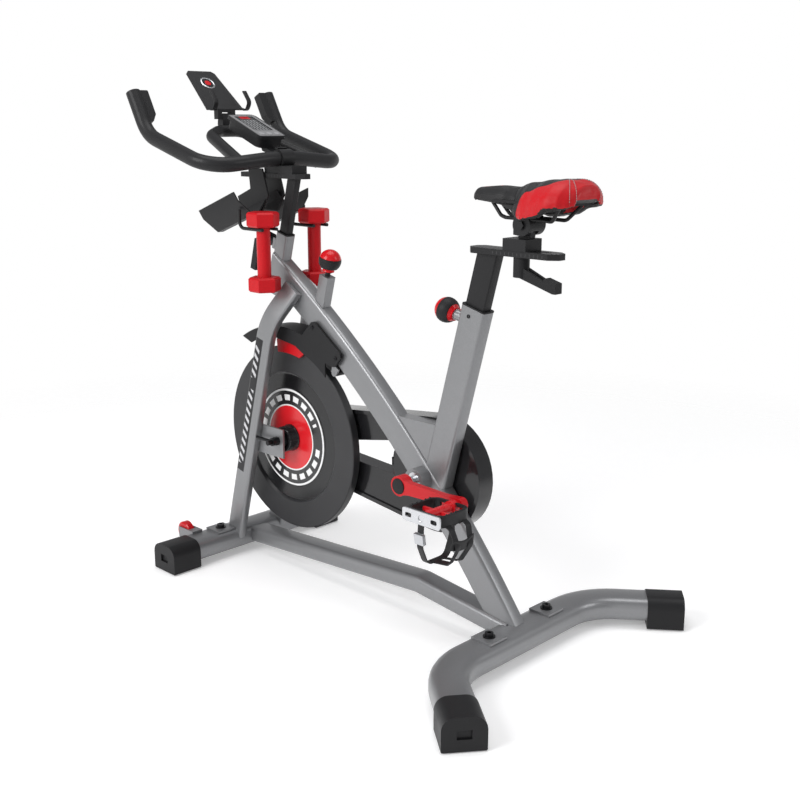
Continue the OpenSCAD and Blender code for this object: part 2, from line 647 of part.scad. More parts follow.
module seat_carriage() color(coat_black) in_place() {
    translate([saddle_x - 28, -block_y, top_z]) cube([56, 2 * block_y, 23]);
    translate([saddle_x, 0, bar_z - 12]) cylinder(r = 5, h = slide_t + 12 + 11, $fn = 32);
    // neck, whose eye carries the saddle clamp on a cross bolt
    plate(-lug_y, lug_y) polygon(concat(arc(clamp, 13, -10, 190, 12), [[saddle_x - 5, top_z + 20],
        [saddle_x + 24, top_z + 20]]));
    pin(clamp, 5, -head_y - 1, head_y + 1);
    for (y = [-head_y - 6, head_y + 0.6]) translate([clamp[0], y, clamp[1]]) rotate([-90, 0, 0])
        cylinder(r = 9, h = 5.4, $fn = 6);
}
rail_y = 19;
module saddle_clamp() color(coat_black) in_place() difference() {
    union() {
        pin(clamp, 21, -head_y, head_y);
        plate(-head_y, head_y) polygon([clamp + [-19, -19], clamp + [0, -21], clamp + [0, 21], clamp + [-19, 18]]);
    }
    rails(8.2);
    pin(clamp, 5 + fit, -40, 40);
    // slot for the neck, wide enough for the tilt
    plate(-lug_y - gap, lug_y + gap) polygon(concat(arc(clamp, 13 + gap, 0, 180, 16),
        [clamp + [-26, -30], clamp + [24, -30]]));
}
module rails(d) both_sides() rod(d, [[262, 12, 932], [286, 14, 906], [302, rail_y, 903], [392, rail_y, 902],
    [414, 22, 901], [440, 34, 930]], 12, n = 10, steps = 4);
module saddle_base() color(coat_black) in_place() {
    rails(7.5);
    difference() {
        hull() {
            translate([232, 0, 932]) cylinder(r = 14, h = 5, $fn = 32);
            translate([300, 0, 928]) cylinder(r = 26, h = 5, $fn = 32);
            both_sides() translate([434, 38, 932]) cylinder(r = 30, h = 5, $fn = 32);
        }
        rails(7.5);
    }
}
module saddle_pad() color(bright_red) in_place() difference() {
    union() {
        hull() {
            translate([232, 0, 946]) scale([1, 0.9, 0.5]) sphere(r = 25, $fn = 24);
            translate([330, 0, 950]) scale([1, 0.9, 0.5]) sphere(r = 46, $fn = 24);
        }
        hull() {
            translate([330, 0, 946]) scale([1, 0.9, 0.5]) sphere(r = 46, $fn = 24);
            both_sides() translate([436, 40, 953]) scale([1, 1, 0.52]) sphere(r = 43, $fn = 24);
        }
    }
    translate([330, 0, 937.5 - 30]) cube([400, 300, 60], center = true);
}
lever_z = 789;
module seat_lever() color(coat_black) in_place() {
    difference() {
        translate([saddle_x, 0, lever_z]) cylinder(r = 16, h = bar_z - gap - lever_z, $fn = fine);
        translate([saddle_x, 0, bar_z - 13]) cylinder(r = 5 + fit, h = 20, $fn = fine);
    }
    difference() {
        plate(-10, 10) polygon([[saddle_x, lever_z], [saddle_x, lever_z + 24], [saddle_x + 60, lever_z - 2],
            [saddle_x + 62, lever_z + 4], [saddle_x + 90, lever_z - 4], [saddle_x + 90, lever_z - 24],
            [saddle_x + 82, lever_z - 24]]);
        translate([saddle_x, 0, lever_z]) cylinder(r = 16, h = 60, $fn = fine);
        plate(-4, 4) polygon([[saddle_x + 15, lever_z + 30], [saddle_x + 18, lever_z + 8], [saddle_x + 58, lever_z - 8],
            [saddle_x + 58, lever_z + 30]]);
    }
}
module seat_pin() color(coat_black) in_place() leaning(seat_top) translate([-seat_w / 2, 0, -pin_drop])
    rotate([0, -90, 0]) {
        translate([0, 0, -5.9]) cylinder(r = pin_r, h = 37.9, $fn = fine);
        translate([0, 0, 18.4]) cylinder(r = 12, h = 6, $fn = fine);
        translate([0, 0, 46]) sphere(r = 27, $fn = fine);
    }

// ---- handlebar ----------------------------------------------------------------------------------

rail_z = 953;
rail_t = 11;
grip_x = -378;
grip_z = 997;
module bar_post() color(coat_black) in_place() {
    difference() {
        intersection() {
            leaning(head_top) translate([0, 0, -140]) straight_bar(stem_w, stem_d, 3, 300);
            translate([-600, -100, 0]) cube([600, 200, rail_z]);
        }
        leaning(head_top) translate([0, 0, -141]) straight_bar(stem_w - 2 * tube_wall, stem_d - 2 * tube_wall, 1, 260);
    }
    slide_bar(-524, -294, 44, rail_z, rail_t);
}
carriage_z = rail_z + rail_t;
module bar_carriage() color(coat_black) in_place() {
    translate([-424, -20, carriage_z]) cube([52, 40, 16]);
    difference() {
        translate([-372, -22, carriage_z]) cube([50, 44, 18]);
        pin([grip_x, grip_z], bar_d / 2, -30, 30);
    }
    difference() {
        pin([grip_x, grip_z], bar_d / 2 + 5, -18, 18);
        pin([grip_x, grip_z], bar_d / 2, -20, 20);
        translate([grip_x - 46, -30, grip_z - 45]) cube([140, 60, 29]);
    }
}

horn_foot = [-628, 1050];
horn_top = [-681, 1147];
function horn_path(s) = [[grip_x, 0, grip_z], [grip_x, s * 40, grip_z], [grip_x - 16, s * horn_y, grip_z - 15],
    [horn_foot[0], s * horn_y, horn_foot[1]], [horn_top[0], s * horn_y, horn_top[1]]];
function smooth_horn(s) = let (p = horn_path(s)) concat([p[0], p[1]], corner(p[1], p[2], p[3], 70, 8),
    corner(p[2], p[3], p[4], 80, 6), [p[4]]);
function loop_path(s) = [[grip_x - 10, s * 112, 986], [-560, s * 70, 1047], [-584, s * 28, 1058], [-584, 0, 1058]];
module horn(s) swept(disc(bar_d / 2, 24), smooth_horn(s), [1, 0, 0]);
module handlebar() color(coat_black) in_place() {
    plate(-13.6, 13.6) polygon([[-588, 1100], [-604, 1100], [-608, 1074], [-602, 1058], [-586, 1058]]);
    pin(tablet_hinge, 5, -26, 26);
    both_sides() {
        horn(1);
        difference() {
            swept(disc(14, 20), concat(bent(loop_path(1), 34, 6)), [0, 0, 1]);
            horn(1);
        }
        // flat finger rest moulded along the inside of each horn
        difference() {
            translate([horn_top[0], horn_y - 34, horn_top[1]])
                rotate([0, atan2(horn_top[0] - horn_foot[0], horn_top[1] - horn_foot[1]), 0])
                translate([-11, 0, 0]) rotate([90, 0, 90]) linear_extrude(22)
                polygon([[0, -62], [0, -2], [2, 0], [34, 0], [34, -80], [12, -80]]);
            horn(1);
        }
    }
}

console_mid = [-474, 1072];
console_tilt = 21.8;
console_w = 82;
console_l = 134;
console_h = 30;
module on_console() translate([console_mid[0], 0, console_mid[1]]) rotate([0, console_tilt, 0]) children();
keys = [[50, -22], [50, 0], [50, 22]];
module key_spot(k, r, z, h) translate([keys[k][0], keys[k][1], z]) cylinder(r = r, h = h, $fn = 32);
module console() color(coat_black) in_place() {
    on_console() difference() {
        union() {
            translate([0, 0, -8]) linear_extrude(8) polygon(round_box(console_l, console_w, 12));
            translate([1, 0, -console_h]) linear_extrude(console_h - 8)
                polygon(round_box(console_l - 8, console_w - 8, 14));
        }
        translate([-12, 0, -1]) linear_extrude(2) polygon(round_box(84, 54, 5));
        for (k = [0:2]) key_spot(k, 7 + gap, -5, 6);
    }
    difference() {
        plate(-13, 13) polygon([[-440, 1014], [-396, 1002], [-380, 1022], [-396, 1026], [-420, 1040], [-450, 1040]]);
        on_console() translate([-100, -60, -console_h]) cube([200, 120, 60]);
        pin([grip_x, grip_z], bar_d / 2 + 5.2, -18, 18);
    }
}
module button(k) color(coat_black) in_place() on_console() key_spot(k, 7, -3, 3.8);
module button_up() button(0);
module button_down() button(1);
module button_start() button(2);

tablet_foot = [-592, 1110];
tablet_slope = 42;
tablet_l = 136;
module tablet_holder() color(coat_black) in_place() {
    translate([tablet_foot[0], 0, tablet_foot[1]]) rotate([0, 90 - tablet_slope, 180]) rotate([0, -90, 0])
        tablet_plate();
    // flat hooks that hold the lower corners of a tablet
    both_sides() difference() {
        swept(round_box(12, 3.4, 1), bent([[-597, 49, 1112], [-572, 49, 1106], [-560, 49, 1126], [-580, 49, 1152]],
            11, 5), [0, 1, 0]);
        translate([tablet_foot[0], 0, tablet_foot[1]]) rotate([0, 90 - tablet_slope, 180]) rotate([0, -90, 0])
            tablet_plate();
    }
    difference() {
        translate([-604, -26, 1086]) cube([16, 52, 24]);
        pin(tablet_hinge, 5 + fit, -40, 40);
        translate([tablet_foot[0], 0, tablet_foot[1]]) rotate([0, 90 - tablet_slope, 180]) rotate([0, -90, 0])
            tablet_plate();
        translate([-610, -14, 1080]) cube([30, 28, 22]);
    }
}
tablet_hinge = [-597, 1092];
module tablet_plate() translate([0, 0, -4]) linear_extrude(4) polygon([[0, -54], [tablet_l - 8, -42], [tablet_l, -34],
    [tablet_l, 34], [tablet_l - 8, 42], [0, 54]]);

rack_tilt = 20;
rack_rear = [-424, 924];
cradle_out = [[0, 114], [-22, 107], [-56, 74], [-56, 58], [-22, 23], [0, 14]];
cradle_in = [[0, 17], [-21, 26], [-53, 59], [-53, 73], [-21, 104], [0, 111]];
module along_cradle() translate([rack_rear[0], 0, rack_rear[1]]) rotate([0, -90 - rack_tilt, 0]) children();
module cradle() along_cradle() linear_extrude(146) polygon(concat(cradle_out, cradle_in));
// All that lies inside and above a trough, for cutting what is welded under it
module cradle_space() along_cradle() translate([0, 0, -20]) linear_extrude(190)
    polygon(concat([[40, 119]], cradle_out, [[40, 14]]));
module accessory_rack() color(coat_black) in_place() both_sides() {
    cradle();
    difference() {
        plate(22, 26) polygon([[-478, 974], [-426, 974], [-406, 912], [-430, 873], [-486, 873], [-512, 881],
            [-523, 906], [-473, 926]]);
        cradle_space();
    }
    // wire fork that carries the upper head of a dumbbell
    for (s = [-1, 1]) difference() {
        rod(8, [[-424, dumbbell_y + s * 20, 884], [-424, dumbbell_y + s * 21, 841], [-340, dumbbell_y + s * 21, 841]],
            16, side = [0, 1, 0]);
        cradle_space();
    }
}

module head_lever() color(coat_black) in_place()
    leaning(head_top) translate([-head_w / 2 - pad_t - gap, 0, -lever_drop]) rotate([0, -90, 0]) {
        translate([0, 0, -pad_t - tube_wall]) cylinder(r = 5, h = 20, $fn = fine);
        cylinder(r = 12, h = 16, $fn = fine);
        translate([-14, -12, 16]) cube([26, 24, 44]);
        translate([-88, -12, 48]) cube([76, 24, 18]);
    }

// ---- feet, transport wheels, dumbbells ----------------------------------------------------------

module leveller() translate([leveller_at, 0, 0]) {
    cylinder(r = 19, h = 7, $fn = fine);
    translate([0, 0, 7]) cylinder(r = 8, h = 3, $fn = 32);
}
module leveller_fl() color(rubber) in_place() on_front_cap(-1) leveller();
module leveller_fr() color(rubber) in_place() on_front_cap(1) leveller();
module leveller_rl() color(rubber) in_place() on_rear_cap(-1) leveller();
module leveller_rr() color(rubber) in_place() on_rear_cap(1) leveller();

module transport_wheel(y) translate([0, y, 0])
    turned(transport, [[4.05, -10], [22, -10], [26, -7], [26, 7], [22, 10], [4.05, 10]]);
module transport_wheel_l() color(bright_red) in_place() transport_wheel(-wheel_y);
module transport_wheel_r() color(bright_red) in_place() transport_wheel(wheel_y);

dumbbell_x = -364;
dumbbell_y = 77.5;
module dumbbell(y) translate([dumbbell_x, y, 0]) {
    for (z = [697, 846]) translate([0, 0, z]) {
        cylinder(r1 = 34, r2 = 38, h = 4, $fn = 6);
        translate([0, 0, 4]) cylinder(r = 38, h = 26, $fn = 6);
        translate([0, 0, 30]) cylinder(r1 = 38, r2 = 34, h = 4, $fn = 6);
    }
    translate([0, 0, 731]) cylinder(r = 16, h = 115, $fn = fine);
}
module dumbbell_l() color(bright_red) in_place() dumbbell(-dumbbell_y);
module dumbbell_r() color(bright_red) in_place() dumbbell(dumbbell_y);

main_beam();
head_tube();
seat_tube();
bb_shell();
frame_lugs();
fork_left();
fork_right();
lower_beam();
front_stabiliser();
rear_stabiliser();
bolts();
end_caps();
post_sleeves();
axle_plates();
flywheel_axle();
fender();
guard_inner();
guard_outer();
bb_bearings();
drive_belt();
flywheel();
flywheel_disc();
flywheel_hub();
flywheel_pulley();
crank_spindle();
crank_left();
crank_right();
crank_pulley();
pedal_left();
pedal_left_core();
pedal_right();
pedal_right_core();
magnet_carrier();
brake_rod();
resistance_knob();
seat_post();
seat_carriage();
saddle_clamp();
saddle_base();
saddle_pad();
seat_lever();
seat_pin();
bar_post();
bar_carriage();
handlebar();
console();
tablet_holder();
accessory_rack();
head_lever();
leveller_fl();
leveller_fr();
leveller_rl();
leveller_rr();
transport_wheel_l();
transport_wheel_r();
dumbbell_l();
dumbbell_r();
button_up();
button_down();
button_start();
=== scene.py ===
# %% [markdown]
# # An indoor spin bike
# The bike arrives as a finished engineering model: every tube, shaft and bolt already has its size and its
# place. This notebook gives it its looks. Each step first says what the real piece is and how it could be made,
# and then makes it.

# %% Load the engineering model
import json
from math import cos, pi, radians, sin

import bmesh
import bpy
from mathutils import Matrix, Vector


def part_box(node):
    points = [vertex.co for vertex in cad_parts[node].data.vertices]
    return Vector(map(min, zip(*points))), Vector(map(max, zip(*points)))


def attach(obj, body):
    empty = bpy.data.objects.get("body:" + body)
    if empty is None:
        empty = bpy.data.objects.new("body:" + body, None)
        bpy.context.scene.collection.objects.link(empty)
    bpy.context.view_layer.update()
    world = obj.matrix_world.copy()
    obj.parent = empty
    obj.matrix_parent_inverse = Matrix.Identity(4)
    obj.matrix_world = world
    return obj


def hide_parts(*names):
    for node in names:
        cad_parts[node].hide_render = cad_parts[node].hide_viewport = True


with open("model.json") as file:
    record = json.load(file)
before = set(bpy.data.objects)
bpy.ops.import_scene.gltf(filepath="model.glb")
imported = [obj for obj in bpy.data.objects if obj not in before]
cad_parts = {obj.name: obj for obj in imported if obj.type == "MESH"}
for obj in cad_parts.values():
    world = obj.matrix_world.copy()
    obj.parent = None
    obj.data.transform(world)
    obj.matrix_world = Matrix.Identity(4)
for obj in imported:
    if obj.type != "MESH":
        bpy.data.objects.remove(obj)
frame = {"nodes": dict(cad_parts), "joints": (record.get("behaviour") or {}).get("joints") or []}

nodes = frame["nodes"]
joints = {joint["name"]: joint for joint in frame["joints"]}
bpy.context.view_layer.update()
axle = Vector(joints["flywheel_spin"]["pos_m"])

# %% [markdown]
# ## Edges that catch the light
# A model from a CAD program has many flat facets and perfectly sharp edges. A real tube has neither. The facets of
# a round tube are blended by smooth shading, and an edge sharper than thirty degrees stays an edge. The vertices
# of neighbouring faces come separated, so a Weld modifier joins them first and an Edge Split modifier parts them
# again where the surface really turns a corner.

# %% Smooth shading on every engineering part
def soften(piece, angle=30):
    weld = piece.modifiers.new("weld", "WELD")
    weld.merge_threshold = 1e-6
    corners = piece.modifiers.new("corners", "EDGE_SPLIT")
    corners.split_angle = radians(angle)
    piece.data.polygons.foreach_set("use_smooth", [True] * len(piece.data.polygons))


for part in nodes.values():
    soften(part)
print("softened", len(nodes), "parts")

# %% [markdown]
# ## Writing a material as a sum
# A procedural material is a small calculation that Blender repeats for every point of a surface. Joining dozens
# of Math nodes by hand hides that calculation, so this class wraps a socket: adding two wrapped sockets adds a
# Math node, and the line of Python reads like the formula it stands for.

# %% A socket that can be added, multiplied and compared
class Wire:
    def __init__(self, finish, socket):
        self.finish = finish
        self.socket = socket

    def math(self, operation, *values):
        return self.finish.node("Math", {"operation": operation}, dict(enumerate(values)))

    def __add__(self, other):
        return self.math("ADD", self, other)

    __radd__ = __add__

    def __mul__(self, other):
        return self.math("MULTIPLY", self, other)

    __rmul__ = __mul__

    def __sub__(self, other):
        return self.math("SUBTRACT", self, other)

    def __rsub__(self, other):
        return self.math("SUBTRACT", other, self)

    def __gt__(self, other):
        return self.math("GREATER_THAN", self, other)

    def __lt__(self, other):
        return self.math("LESS_THAN", self, other)

    def __pow__(self, other):
        return self.math("POWER", self, other)

    def __mod__(self, other):
        return self.math("FLOORED_MODULO", self, other)

    def __abs__(self):
        return self.math("ABSOLUTE", self)


# %% [markdown]
# ## A finish
# Every finish below is a Principled shader with fixed numbers for what is the same all over, and wires for what
# changes over the surface: colour, roughness, metal and the bump. Positions are in metres, so a noise scale of
# 1000 gives a grain of about one millimetre.

# %% The finish class
class Finish:
    def __init__(self, name, colour, rough, metal=0.0, **fixed):
        self.material = bpy.data.materials.new(name)
        self.material.use_nodes = True
        self.nodes = self.material.node_tree.nodes
        self.links = self.material.node_tree.links
        self.shader = self.nodes["Principled BSDF"]
        self.set("Base Color", (*colour, 1))
        self.set("Roughness", rough)
        self.set("Metallic", metal)
        for socket, value in fixed.items():
            self.set(socket.replace("_", " ").title().replace("Ior", "IOR"), value)

    def set(self, name, value):
        socket = self.shader.inputs[name]
        if isinstance(value, Wire):
            self.links.new(value.socket, socket)
        else:
            socket.default_value = value

    def node(self, kind, settings=None, inputs=None, output=0):
        made = self.nodes.new("ShaderNode" + kind)
        for name, value in (settings or {}).items():
            setattr(made, name, value)
        for name, value in (inputs or {}).items():
            if isinstance(value, Wire):
                self.links.new(value.socket, made.inputs[name])
            else:
                made.inputs[name].default_value = value
        return Wire(self, made.outputs[output])

    def place(self):
        return self.node("TexCoord", output="Object")

    def axis(self, letter):
        return self.node("SeparateXYZ", inputs={0: self.place()}, output="XYZ".index(letter))

    def along(self, direction, start=(0, 0, 0)):
        """Distance from a starting point, measured along a direction."""
        dot = self.node("VectorMath", {"operation": "DOT_PRODUCT"}, {0: self.place(), 1: tuple(direction)}, "Value")
        return dot - Vector(direction).dot(Vector(start))

    def noise(self, scale, detail=2.0):
        return self.node("TexNoise", None, {"Vector": self.place(), "Scale": scale, "Detail": detail})

    def cells(self, scale, feature="F1"):
        return self.node("TexVoronoi", {"feature": feature}, {"Vector": self.place(), "Scale": scale})

    def spread(self, wire, low, high, to_low=0.0, to_high=1.0):
        return self.node("MapRange", {"clamp": True}, {"Value": wire, "From Min": low, "From Max": high,
                                                       "To Min": to_low, "To Max": to_high})

    def mix(self, factor, first, second):
        colours = [c if isinstance(c, Wire) else (*c, 1) for c in (first, second)]
        return self.node("Mix", {"data_type": "RGBA"}, {0: factor, 6: colours[0], 7: colours[1]}, output=2)

    def bump(self, height, strength=0.3, depth=0.0005):
        edge = self.node("Bevel", {"samples": 4}, {"Radius": 0.0008})
        self.set("Normal", self.node("Bump", None, {"Height": height, "Strength": strength, "Distance": depth,
                                                    "Normal": edge}))
        return self

    def put_on(self, *names):
        for name in names:
            slots = nodes[name].data.materials
            slots.clear()
            slots.append(self.material)
        return self


print("a finish has", len(Finish.__dict__), "members")

# %% [markdown]
# ## The bike's colours
# The bike is graphite, black and signal red. The shades that more than one finish uses are mixed here once, as
# linear red, green and blue. Paint, plastic and leather take slightly different blacks and reds, because each
# material swallows light in its own way.

# %% Blacks, reds and graphite
near_black = (0.011, 0.011, 0.012)
paint_black = (0.013, 0.013, 0.014)
paint_red = (0.50, 0.004, 0.009)
gloss_red = (0.52, 0.004, 0.009)
leather_black = (0.016, 0.016, 0.017)
graphite_grey = (0.245, 0.248, 0.255)
print("red", paint_red, "black", near_black, "graphite", graphite_grey)

# %% [markdown]
# ## Paints
# The frame is powder coated in a satin graphite with a fine metal flake. Baked powder flows together before it
# sets, which leaves a faint orange peel. The flake changes the colour from grain to grain, the peel goes into
# the bump, and hands and cloths leave slow changes of gloss.

# %% Powder coats and enamels
def powder_coat(name, colour, rough, metal, flake, marks=None, coat=0.2):
    paint = Finish(name, colour, rough, metal, coat_weight=coat, coat_roughness=0.16, specular_ior_level=0.26)
    speck = paint.noise(1800, 1)
    light = tuple(min(1, c * (1 + flake)) for c in colour)
    dark = tuple(c * (1 - flake) for c in colour)
    shade = paint.mix(paint.spread(speck, 0.35, 0.65), dark, light)
    for where, tone in (marks(paint) if marks else []):
        shade = paint.mix(where, shade, tone)
    paint.set("Base Color", shade)
    paint.set("Roughness", paint.spread(paint.noise(7, 3), 0.3, 0.7, rough - 0.05, rough + 0.06))
    return paint.bump(paint.noise(260, 2) + 0.4 * speck, 0.22, 0.0003)


def fork_panel(paint):
    """A dark panel down the fork with two rows of slanted pale bars."""
    foot = (-0.4563, 0, 0.05)
    high = paint.along((0.2625, 0, 0.9649), foot)
    back = paint.along((0.9649, 0, -0.2625), foot)
    panel = (high > 0.1855) * (high < 0.546) * (back < 0.0035) * (paint.axis("Y") < -0.0555)
    bars = ((high + back * 0.7) * (1 / 0.021) % 1.0 < 0.45) * (back < -0.004) * (back > -0.0205)
    rows = (high > 0.205) * (high < 0.41) + (high > 0.44) * (high < 0.525)
    return [(panel, (0.022, 0.022, 0.024)), (panel * bars * rows, (0.62, 0.62, 0.64))]


def slider_ticks(paint):
    """A scale of short grey lines on the edges of the two slide bars."""
    tick = ((paint.axis("X") * 100) % 1.0 < 0.13) * (abs(paint.axis("Y")) > 0.0214)
    height = paint.axis("Z")
    seat = (height > 0.8312) * (height < 0.8372) * (paint.axis("X") > 0.345) * (paint.axis("X") < 0.475)
    bars = (height > 0.9552) * (height < 0.9612) * (paint.axis("X") > -0.40) * (paint.axis("X") < -0.27)
    return [(tick * (seat + bars), (0.05, 0.05, 0.052))]


metal_paint = (graphite_grey, 0.36, 0.62, 0.16)
graphite = powder_coat("graphite_powder_coat", *metal_paint)
striped_graphite = powder_coat("graphite_with_fork_panel", *metal_paint, fork_panel)
satin_black = powder_coat("satin_black_powder_coat", paint_black, 0.42, 0.0, 0.25, coat=0.0)
ticked_black = powder_coat("satin_black_with_scale", paint_black, 0.42, 0.0, 0.25, slider_ticks, 0.0)
red_enamel = powder_coat("red_enamel", paint_red, 0.3, 0.0, 0.06, coat=0.1)
graphite.put_on("main_beam", "head_tube", "seat_tube", "bb_shell", "frame_lugs", "fork_right",
                "lower_beam", "front_stabiliser", "rear_stabiliser", "axle_plates")
striped_graphite.put_on("fork_left")
satin_black.put_on("seat_carriage", "saddle_clamp", "bar_carriage", "accessory_rack", "tablet_holder", "brake_rod")
ticked_black.put_on("seat_post", "bar_post")
red_enamel.put_on("crank_left", "crank_right")
print("painted:", len(bpy.data.materials), "paints mixed")

# %% [markdown]
# ## Plastics and rubber
# Moulds are etched so that their parts come out with a fine leather-like grain: it hides scratches and kills
# glare. The red trim is moulded in a smooth tool and stays glossy. Rubber is rougher than either, and dust
# settles in its grain.

# %% Moulded plastics and rubber
def moulded(name, colour, rough, grain=1500, depth=0.00015, **fixed):
    plastic = Finish(name, colour, rough, specular_ior_level=0.24, **fixed)
    pits = plastic.noise(grain, 2)
    plastic.set("Roughness", plastic.spread(plastic.noise(12, 3) + 0.3 * pits, 0.4, 0.9, rough - 0.06, rough + 0.08))
    worn = tuple(min(1, c * 1.35 + 0.002) for c in colour)
    plastic.set("Base Color", plastic.mix(plastic.spread(pits, 0.5, 0.75, 0, 0.6), colour, worn))
    return plastic.bump(pits, 0.3, depth)


grained_black = moulded("grained_black_plastic", near_black, 0.46)
glossy_black = moulded("glossy_black_plastic", (0.010, 0.010, 0.011), 0.22, 700, 0.00005, coat_weight=0.4)
glossy_red = moulded("glossy_red_plastic", gloss_red, 0.26, 600, 0.00005, coat_weight=0.2)
rubber = moulded("moulded_rubber", (0.012, 0.012, 0.012), 0.72, 900, 0.0003)
grip_coat = moulded("dipped_grip_coat", paint_black, 0.5, 1100, 0.0002, coat_weight=0.08)
vinyl = moulded("dipped_red_vinyl", paint_red, 0.42, 420, 0.0004)
key_rubber = moulded("pale_key_rubber", (0.30, 0.30, 0.31), 0.6, 900, 0.0002)
grained_black.put_on("end_caps", "post_sleeves", "crank_pulley", "saddle_base", "seat_lever", "head_lever",
                     "fender")
glossy_black.put_on("guard_inner", "guard_outer")
glossy_red.put_on("transport_wheel_l", "transport_wheel_r")
rubber.put_on("drive_belt", "leveller_fl", "leveller_fr", "leveller_rl", "leveller_rr")
key_rubber.put_on("button_up", "button_down", "button_start")
grip_coat.put_on("handlebar")
vinyl.put_on("dumbbell_l", "dumbbell_r")
print("plastics and rubber done,", len(bpy.data.materials), "materials so far")

# %% [markdown]
# ## Bare metal
# Machined steel shows fine lines where the tool passed and small changes of gloss where it was handled. Stretching
# the noise along one direction gives those lines.

# %% Machined steel
def machined(name, colour, rough):
    steel = Finish(name, colour, rough, 1.0)
    stretched = steel.node("Mapping", None, {"Vector": steel.place(), "Scale": (300, 3000, 300)})
    lines = steel.node("TexNoise", None, {"Vector": stretched, "Scale": 1.0, "Detail": 3.0})
    steel.set("Roughness", steel.spread(lines, 0.3, 0.7, rough - 0.06, rough + 0.1))
    return steel.bump(lines, 0.15, 0.0001)


plated = machined("zinc_plated_steel", (0.58, 0.59, 0.61), 0.24)
blackened = machined("blackened_steel", (0.035, 0.035, 0.037), 0.34)
plated.put_on("bb_bearings", "flywheel_pulley", "crank_spindle")
blackened.put_on("bolts", "flywheel_axle")
print("steel parts done")

# %% [markdown]
# ## Pedals and console, told apart by position
# Some mouldings are one piece in the engineering model but show two or three materials: the pedal's axle tube is
# red between a bright end plate and the crank, its strap has a steel buckle, and the console has a grey face round
# a dark screen. The position of a point says which it belongs to, so each needs only one finish.

# %% Pedal, console and magnet carrier finishes
def carrier_finish():
    shoe = Finish("magnet_carrier_red_shoe", gloss_red, 0.3, specular_ior_level=0.3)
    behind = shoe.axis("X") > axle.x + 0.085
    shoe.set("Base Color", shoe.mix(behind, gloss_red, near_black))
    shoe.set("Roughness", shoe.spread(shoe.noise(40, 3), 0.3, 0.7, 0.26, 0.38))
    return shoe.bump(shoe.noise(900, 2), 0.15, 0.0001)


def pedal_core_finish():
    red = (0.6, 0.006, 0.012)
    core = Finish("pedal_core_red_and_steel", red, 0.28, coat_weight=0.1)
    plate = abs(core.axis("Y")) > 0.2015
    core.set("Base Color", core.mix(plate, red, (0.60, 0.61, 0.63)))
    core.set("Metallic", plate * 1.0)
    core.set("Roughness", core.spread(core.noise(40, 3), 0.3, 0.7, 0.2, 0.34))
    return core.bump(core.noise(700, 2), 0.15, 0.0002)


def pedal_finish():
    cage = Finish("pedal_black_with_buckle", near_black, 0.46, specular_ior_level=0.3)
    side, height = abs(cage.axis("Y")), cage.axis("Z")
    buckle = (side > 0.1996) * (side < 0.2100) * (height > 0.2745) * (height < 0.2975)
    ribs = cage.node("Math", {"operation": "SINE"}, {0: height * (2 * pi / 0.0028)})
    cage.set("Base Color", cage.mix(buckle, near_black, (0.55, 0.56, 0.58)))
    cage.set("Metallic", buckle * 1.0)
    cage.set("Roughness", cage.spread(cage.noise(1200, 2), 0.3, 0.7, 0.38, 0.5))
    return cage.bump(cage.noise(1500, 2) * 0.4 + ribs * buckle, 0.3, 0.0004)


console_at = Vector((-0.3973, 0, 1.072))
console_tilt = radians(21.8)
console_back = Vector((cos(console_tilt), 0, -sin(console_tilt)))
console_up = Vector((sin(console_tilt), 0, cos(console_tilt)))


def console_finish():
    case = Finish("console_case_and_screen", (0.012, 0.012, 0.013), 0.4, specular_ior_level=0.3)
    back = case.along(console_back, console_at)
    side = case.axis("Y")
    high = case.along(console_up, console_at)
    top = high > -0.0016
    face = top * (abs(back) < 0.0625) * (abs(side) < 0.0365)
    screen = top * (back > -0.0545) * (back < 0.0305) * (abs(side) < 0.0275)
    figures = (back * (1 / 0.0125) % 1.0 > 0.35) * ((side + 0.001) * (1 / 0.009) % 1.0 > 0.4)
    figures = figures * screen * (back > -0.038) * (back < 0.026) * (abs(side) < 0.022)
    badge = screen * (back < -0.041) * (abs(side) < 0.014)
    shade = case.mix(face, near_black, (0.21, 0.21, 0.215))
    shade = case.mix(screen, shade, (0.030, 0.031, 0.033))
    shade = case.mix(figures, shade, (0.26, 0.265, 0.27))
    case.set("Base Color", case.mix(badge, shade, (0.45, 0.008, 0.012)))
    case.set("Roughness", case.spread(screen + 0.1 * case.noise(900, 2), 0.0, 1.0, 0.44, 0.12))
    return case.bump(case.noise(1500, 2), 0.25, 0.00015)


carrier_finish().put_on("magnet_carrier")
pedal_core_finish().put_on("pedal_left_core", "pedal_right_core")
pedal_finish().put_on("pedal_left", "pedal_right")
console_finish().put_on("console")
print("two-colour mouldings done")

# %% [markdown]
# ## The flywheel
# The wheel is a turned iron casting under a black coat. Turning leaves fine rings round the axle, and the coat
# dulls them. Its red centre disc is printed with a white circle and, between two white lines, a scale of plain
# bars. Every mark depends only on the distance and the direction from the axle, so the whole print is a formula.

# %% Turned iron and the printed centre disc
def polar(finish, centre):
    side = finish.axis("X") - centre.x
    height = finish.axis("Z") - centre.z
    radius = (side * side + height * height) ** 0.5
    return radius, finish.node("Math", {"operation": "ARCTAN2"}, {0: height, 1: side})


def turned_iron():
    iron = Finish("coated_turned_iron", (0.012, 0.012, 0.013), 0.34, 0.1)
    radius, _ = polar(iron, axle)
    rings = iron.node("Math", {"operation": "SINE"}, {0: radius * (2 * pi / 0.0016)})
    rim = iron.spread(radius, 0.157, 0.163)
    gloss = iron.spread(iron.noise(18, 3) + 0.06 * rings, 0.3, 0.75, 0.0, 0.1)
    iron.set("Roughness", gloss + 0.14 + rim * 0.26)
    iron.set("Base Color", iron.mix(rim, (0.009, 0.009, 0.010), (0.024, 0.024, 0.026)))
    return iron.bump(rings * 0.5 + iron.noise(500, 2), 0.12, 0.0002)


